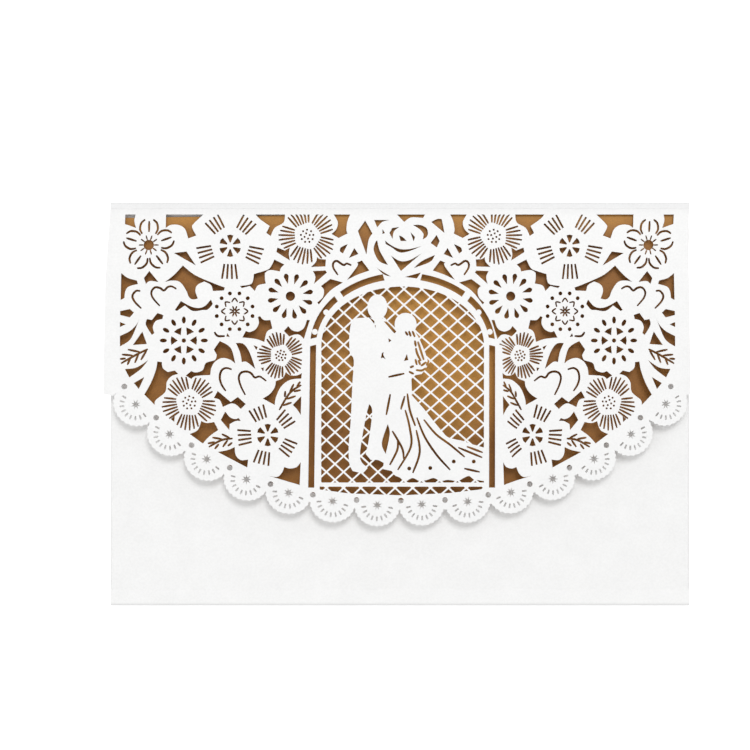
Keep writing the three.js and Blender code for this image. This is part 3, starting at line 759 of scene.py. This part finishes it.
def cutSheet():
    # One triangulation of every outline, from which the openings are left out.
    cuts = leftCuts + rightCuts + middleCuts + borderHoles
    outlines = [blank] + lobes + cuts + cells + fields + figures + slots + slotCores + bridges
    verts, edges = [], []
    for outline in outlines:
        first = len(verts)
        verts += [Vector(p) for p in outline]
        count = len(outline)
        edges += [(first + i, first + (i + 1) % count) for i in range(count)]
    across = half - sheet["stripInset"]
    for i in range(1, sheet["flapStrips"]):  # lines across the flap, so that it can bend
        first = len(verts)
        y = start + (sheet["flapDrop"] - start) * i / sheet["flapStrips"]
        verts += [Vector((-across, y)), Vector((across, y))]
        edges.append((first, first + 1))
    places, _, triangles = delaunay_2d_cdt(verts, edges, [], 0, 1e-4, False)[:3]
    flat = np.array([tuple(p) for p in places])
    middles = flat[np.array([tuple(t) for t in triangles])].mean(axis=1)
    x, y = middles[:, 0], middles[:, 1]
    opened = (
        insideOf(cuts, x, y)
        | (insideOf(cells, x, y) & insideOf(fields, x, y) & ~insideOf(figures, x, y))
        | (insideOf(slots, x, y) & ~insideOf(slotCores, x, y) & ~insideOf(bridges, x, y))
    )
    card = insideOf([blank] + lobes, x, y) & ~opened
    return places, [tuple(t) for t, keep in zip(triangles, card) if keep]


def flapPlace(x, y, off):
    # A place on the drawing, lifted onto the sprung flap; off is from the middle of the card.
    # The drawing is how the flap looks from above, so what stands higher is a little smaller.
    along = y - sheet["outer"] + sheet["bend"] * math.sin(math.pi - lift)
    far = along / sheet["flapDrop"]
    rise = sheet["spring"] * far * far * (0.5 - x / sheet["width"])
    rise += sheet["bow"] * math.sin(math.pi * min(max(far, 0), 1) ** sheet["bowShape"])
    z = sheet["outer"] - sheet["bend"] * math.cos(math.pi - lift) + along * math.sin(lift) + rise
    near = 1 - (z - sheet["frontLow"] - sheet["paper"]) / sheet["eye"]
    settled = min(max(along, 0) / sheet["settle"], 1)
    skewed = x + settled * (sheet["skew"] - sheet["skewLoss"] * x * x) - sheet["lean"] * far
    middle = sheet["height"] / 2
    return (skewed * near, middle + (middle - y) * near, z + off)


print("lace: cutting the flap")
places, kept = cutSheet()
print("lace:", len(kept), "triangles on one face")


def solidSheet(places, kept, lay):
    # Both faces of the card and the cut edges between them.
    used = sorted({v for triangle in kept for v in triangle})
    number = {v: i for i, v in enumerate(used)}
    verts = [lay(*places[v], off) for off in (sheet["paper"] / 2, -sheet["paper"] / 2) for v in used]
    count = len(used)
    faces, sides = [], {}
    for triangle in kept:
        a, b, c = (number[v] for v in triangle)
        faces.append((c, b, a))
        faces.append((a + count, b + count, c + count))
        for p, q in ((a, b), (b, c), (c, a)):
            if (q, p) in sides:
                del sides[(q, p)]
            else:
                sides[(p, q)] = True
    for p, q in sides:
        faces.append((p, q, q + count, p + count))
    return verts, faces


def meshPiece(name, verts, faces, material):
    # From millimetres above the card's lower edge to metres from its middle
    mesh = bpy.data.meshes.new(name)
    mesh.from_pydata([(x / 1000, (y - sheet["height"] / 2) / 1000, z / 1000) for x, y, z in verts], [], faces)
    mesh.materials.append(material)
    mesh.validate()
    return placed(name, mesh)


def thickPath(path):
    # The two faces of bent card, from its side view as points with their direction
    half = sheet["paper"] / 2
    upper = [(y - half * math.sin(a), z + half * math.cos(a)) for y, z, a in path]
    lower = [(y + half * math.sin(a), z - half * math.cos(a)) for y, z, a in path]
    return upper, lower


def bendPath(y, z, radius, first, last):
    steps = sheet["foldSteps"]
    angles = [first + (last - first) * i / steps for i in range(steps + 1)]
    return [(y + radius * math.sin(a), z - radius * math.cos(a), a) for a in angles]


def extruded(upper, lower, place):
    # A bent strip of card with closed ends; place(side, point) lays a point of its section.
    loop = upper + lower[::-1]
    count = len(loop)
    verts = [place(0, p) for p in loop] + [place(1, p) for p in loop]
    faces = [(i, (i + 1) % count, (i + 1) % count + count, i + count) for i in range(count)]
    half = len(upper)
    for i in range(half - 1):
        j = count - 1 - i
        faces.append((i, j, j - 1, i + 1))
        faces.append((i + count, i + 1 + count, j - 1 + count, j + count))
    return verts, faces


def mouthHeight(x):
    # How high the pocket's mouth is, found along its curve by halving.
    ends = ((0, sheet["pocketMiddle"]), (mouth["flat"], sheet["pocketMiddle"]),
            (mouth["knee"], sheet["pocketMiddle"] + mouth["kneeRise"]),
            (half - mouth["endIn"], sheet["pocketSide"] - mouth["endDown"]))
    low, high = 0.0, 1.0
    for _ in range(mouth["halvings"]):
        t = (low + high) / 2
        weights = ((1 - t) ** 3, 3 * t * (1 - t) ** 2, 3 * t * t * (1 - t), t ** 3)
        x0, height = (sum(w * end[k] for w, end in zip(weights, ends)) for k in (0, 1))
        if x0 < abs(x):
            low = t
        else:
            high = t
    return height


def buildPocket():
    outer, bend = sheet["outer"], sheet["bend"]
    level = sheet["frontLow"] + sheet["paper"] / 2
    # The back, both its folds and the start of the flap
    top = bendPath(sheet["height"] - outer, outer, bend, 0, math.pi - lift)
    y, z, a = top[-1]
    stub = (y - sheet["stub"] * math.cos(lift), z + sheet["stub"] * math.sin(lift), a)
    front = (sheet["tabFoot"], level, -math.pi)
    path = [front] + bendPath(outer, outer, bend, -math.pi, 0) + top + [stub]
    parts = [extruded(*thickPath(path), lambda side, p: ((half, -half)[side], p[0], p[1]))]
    # The front, from above the bottom fold to the mouth
    tabFold = half - sheet["tabBend"] - sheet["paper"] / 2
    columns = mouth["columns"]
    xs = [-tabFold + 2 * tabFold * i / columns for i in range(columns + 1)]
    zs = (sheet["frontLow"] + sheet["paper"], sheet["frontLow"])
    rows = [[(x, sheet["tabFoot"], z) for x in xs] + [(x, mouthHeight(x), z) for x in xs[::-1]] for z in zs]
    count = len(rows[0])
    faces = [(i, i + 1, count - 2 - i, count - 1 - i) for i in range(columns)]
    faces += [tuple(v + count for v in face[::-1]) for face in faces]
    faces += [(i, i + count, (i + 1) % count + count, (i + 1) % count) for i in range(count)]
    parts.append((rows[0] + rows[1], faces))
    # The side folds and the glued tabs
    steps, bend = sheet["foldSteps"], sheet["tabBend"]
    path = []
    for i in range(steps + 1):
        a = -math.pi * i / steps
        path.append((tabFold - bend * math.sin(a), level - bend + bend * math.cos(a), a))
    path.append((tabFold - sheet["tabWidth"], level - 2 * bend, -math.pi))
    for sign in (1, -1):
        parts.append(extruded(
            *thickPath(path),
            lambda side, p, sign=sign: (sign * p[0], (sheet["tabFoot"], sheet["pocketSide"])[side], p[1])))
    return parts


def joinedParts(parts):
    verts, faces = [], []
    for partVerts, partFaces in parts:
        first = len(verts)
        verts += partVerts
        faces += [tuple(v + first for v in face) for face in partFaces]
    return verts, faces


print("wrap: folding the pocket and the back")
wrapVerts, wrapFaces = joinedParts([solidSheet(places, kept, flapPlace)] + buildPocket())
wrap = meshPiece("laceWrap", wrapVerts, wrapFaces, whiteCard)
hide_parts("lace_wrap")
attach(wrap, "root")


# Materials

def principled(material):
    material.use_nodes = True
    return material.node_tree, material.node_tree.nodes["Principled BSDF"]


def buildGrainGroup():
    # Noises that both cards share.
    group = bpy.data.node_groups.new("cardGrain", "ShaderNodeTree")
    for label in ("Tooth Size", "Cloud Size"):
        group.interface.new_socket(label, in_out="INPUT", socket_type="NodeSocketFloat")
    given = group.nodes.new("NodeGroupInput").outputs
    where = group.nodes.new("ShaderNodeTexCoord").outputs["Object"]
    tooth = addNode(group, "ShaderNodeTexNoise", {"Detail": 3.0, "Roughness": 0.6},
                    {"Vector": where, "Scale": given["Tooth Size"]})
    clouds = addNode(group, "ShaderNodeTexNoise", {"Detail": 4.0, "Roughness": 0.55},
                     {"Vector": where, "Scale": given["Cloud Size"]})
    cells = addNode(group, "ShaderNodeTexVoronoi", {"feature": "F1"},
                    {"Vector": where, "Scale": given["Tooth Size"]})
    speckle = addNode(group, "ShaderNodeTexWhiteNoise", {"noise_dimensions": "3D"},
                      {"Vector": cells.outputs["Position"]})
    pearl = addNode(group, "ShaderNodeTexNoise", {"Detail": 2.0, "Scale": 1500.0}, {"Vector": where})
    out = group.nodes.new("NodeGroupOutput")
    for label, socket in (("Height", tooth.outputs["Fac"]), ("Clouds", clouds.outputs["Fac"]),
                          ("Speckle", speckle.outputs["Value"]), ("Pearl", pearl.outputs["Fac"])):
        group.interface.new_socket(label, in_out="OUTPUT", socket_type="NodeSocketFloat")
        group.links.new(socket, out.inputs[label])
    return group


grainGroup = buildGrainGroup()
plain = (1, 1, 1, 1)


def grainNode(tree, finish):
    return addNode(tree, "ShaderNodeGroup", {
        "node_tree": grainGroup, "Tooth Size": finish["tooth"], "Cloud Size": finish["clouds"]}).outputs


def mixColors(tree, factor, first, second, low=0.3, high=0.7):
    # From the first colour, where the factor is low, to the second, where it is high.
    ramp = addNode(tree, "ShaderNodeMapRange", {"From Min": low, "From Max": high}, {"Value": factor})
    mix = addNode(tree, "ShaderNodeMix", {"data_type": "RGBA", "A": first, "B": second}, {"Factor": ramp})
    return mix.outputs["Result"]


def multiplied(tree, first, second):
    product = addNode(tree, "ShaderNodeMix", {"data_type": "RGBA", "blend_type": "MULTIPLY", "Factor": 1.0},
                      {"A": first, "B": second})
    return product.outputs["Result"]


def heightOnCard(tree):
    # How far above the card's middle a place lies.
    coord = tree.nodes.new("ShaderNodeTexCoord")
    return addNode(tree, "ShaderNodeSeparateXYZ", None, {0: coord.outputs["Object"]}).outputs["Y"]


def finishSurface(tree, shader, finish, color, height, roughness):
    tree.links.new(color, shader.inputs["Base Color"])
    strength, distance = finish["bump"]
    bump = addNode(tree, "ShaderNodeBump", {"Strength": strength, "Distance": distance}, {"Height": height})
    tree.links.new(bump.outputs[0], shader.inputs["Normal"])
    low, high = finish["rough"]
    rough = addNode(tree, "ShaderNodeMapRange", {"To Min": low, "To Max": high}, {"Value": roughness})
    tree.links.new(rough.outputs[0], shader.inputs["Roughness"])


whiteFinish = {
    "tooth": 3800.0,
    "clouds": 140.0,
    "light": (0.935, 0.935, 0.93, 1),
    "dark": (0.905, 0.905, 0.9, 1),
    "pearlDark": (0.975, 0.975, 0.975, 1),
    "pearlLight": (1.01, 1.01, 1.01, 1),
    "pearlRange": (0.35, 0.65),
    "fold": (0.93, 0.93, 0.935, 1),  # painted shade: the card is painted a little darker near the top fold, where it curves over
    "foldShadeSpan": (0.0575, 0.061),  # metres above the card's middle, over which the painted shade comes in
    "bump": (0.12, 0.00006),
    "rough": (0.42, 0.6),
    "specular": 0.35,
}


def paintWhite(material, finish):
    tree, shader = principled(material)
    grain = grainNode(tree, finish)
    clouds = mixColors(tree, grain["Clouds"], finish["dark"], finish["light"])
    pearl = mixColors(tree, grain["Pearl"], finish["pearlDark"], finish["pearlLight"], *finish["pearlRange"])
    # Painted shade: the card is darker towards the top fold
    foldShaded = mixColors(tree, heightOnCard(tree), plain, finish["fold"], *finish["foldShadeSpan"])
    color = multiplied(tree, multiplied(tree, clouds, pearl), foldShaded)
    finishSurface(tree, shader, finish, color, grain["Height"], grain["Clouds"])
    shader.inputs["Specular IOR Level"].default_value = finish["specular"]


goldFinish = {
    "tooth": 5200.0,
    "clouds": 60.0,
    "light": (0.335, 0.138, 0.02, 1),
    "dark": (0.258, 0.101, 0.012, 1),
    "flakeDark": (0.86, 0.86, 0.86, 1),
    "flakeLight": (1.15, 1.15, 1.15, 1),
    "paintedHighlight": (1.78, 2.2, 3.0, 1),  # painted highlight: how much lighter the card is painted behind the arch and along its top
    "middle": (0.0055, 0.0155, 0.0),  # of the painted highlight behind the arch, which fades over the reach
    "reach": (0.016, 0.036),
    "top": (0.05, 0.066),  # where the painted highlight along the top comes in, in metres above the middle
    "bump": (0.3, 0.00008),
    "rough": (0.34, 0.5),
    "metallic": 0.25,
}


def paintGold(material, finish):
    tree, shader = principled(material)
    grain = grainNode(tree, finish)
    clouds = mixColors(tree, grain["Clouds"], finish["dark"], finish["light"])
    flakes = mixColors(tree, grain["Speckle"], finish["flakeDark"], finish["flakeLight"], 0.0, 1.0)
    # Painted highlight: the gold is painted lighter behind the arch and along its top
    coord = tree.nodes.new("ShaderNodeTexCoord")
    away = addNode(tree, "ShaderNodeVectorMath", {"operation": "DISTANCE", 1: finish["middle"]},
                   {0: coord.outputs["Object"]})
    near = addNode(tree, "ShaderNodeMapRange", {"From Min": finish["reach"][1], "From Max": finish["reach"][0]},
                   {"Value": away.outputs["Value"]})
    high = addNode(tree, "ShaderNodeMapRange", {"From Min": finish["top"][0], "From Max": finish["top"][1]},
                   {"Value": heightOnCard(tree)})
    highlightShare = addNode(tree, "ShaderNodeMath", {"operation": "MAXIMUM"}, {0: near, 1: high})
    paintedHighlight = mixColors(tree, highlightShare, plain, finish["paintedHighlight"], 0.0, 1.0)
    color = multiplied(tree, multiplied(tree, clouds, flakes), paintedHighlight)
    finishSurface(tree, shader, finish, color, grain["Height"], grain["Speckle"])
    shader.inputs["Metallic"].default_value = finish["metallic"]


print("materials")
paintWhite(whiteCard, whiteFinish)
goldCard = bpy.data.materials.new("goldCard")
paintGold(goldCard, goldFinish)
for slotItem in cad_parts["gold_insert"].material_slots:
    slotItem.material = goldCard


# Floor, lamps and camera

stage = {
    "lamp": {"place": (0.25, 0.95, 2.1), "size": 0.8, "power": 18.0},
    "fill": {"place": (-0.9, -0.5, 1.6), "size": 1.6, "power": 5.0},
    "world": 0.62,
    "floorReach": 3,
    "floorHeight": -0.0002,
    "floorColor": (0.8, 0.8, 0.8, 1),
    "floorRough": 0.9,
    "floorShare": 0.62,  # light of its own that only the camera sees
}
view = {
    "distance": 0.6,  # from the lace to the camera
    "laceHeight": 0.0018,
    "sensor": 36.0,
    "pixels": 750,
    "shift": (-25, 29),  # in pixels
}


def buildFloor():
    mesh = bpy.data.meshes.new("floor")
    reach, z = stage["floorReach"], stage["floorHeight"]
    mesh.from_pydata([(-reach, -reach, z), (reach, -reach, z), (reach, reach, z), (-reach, reach, z)],
                     [], [(0, 1, 2, 3)])
    floor = placed("floor", mesh)
    paint = bpy.data.materials.new("floorPaint")
    tree, shader = principled(paint)
    shader.inputs["Base Color"].default_value = stage["floorColor"]
    shader.inputs["Roughness"].default_value = stage["floorRough"]
    path = tree.nodes.new("ShaderNodeLightPath")
    seen = addNode(tree, "ShaderNodeMath", {"operation": "MULTIPLY", 1: stage["floorShare"]},
                   {0: path.outputs["Is Camera Ray"]})
    shader.inputs["Emission Color"].default_value = plain
    tree.links.new(seen.outputs[0], shader.inputs["Emission Strength"])
    mesh.materials.append(paint)


def buildLamp(name, place, size, power):
    data = bpy.data.lights.new(name, "AREA")
    data.size = size
    data.energy = power
    lamp = placed(name, data)
    lamp.location = place
    lamp.rotation_euler = (-Vector(place)).to_track_quat("-Z", "Y").to_euler()


buildFloor()
buildLamp("window", **stage["lamp"])
buildLamp("fill", **stage["fill"])
world = bpy.data.worlds.new("room")
bpy.context.scene.world = world
world.use_nodes = True
sky = world.node_tree.nodes["Background"]
sky.inputs["Color"].default_value = plain
sky.inputs["Strength"].default_value = stage["world"]

cameraData = bpy.data.cameras.new("camera")
camera = placed("camera", cameraData)
bpy.context.scene.camera = camera
cameraData.sensor_width = view["sensor"]
cameraData.lens = view["sensor"] * view["distance"] / (view["pixels"] * drawing["unit"] / 1000)
cameraData.shift_x = view["shift"][0] / view["pixels"]
cameraData.shift_y = view["shift"][1] / view["pixels"]
camera.location = (0.0, 0.0, view["distance"] + view["laceHeight"])
bpy.context.scene.view_settings.view_transform = "Standard"

print("done")
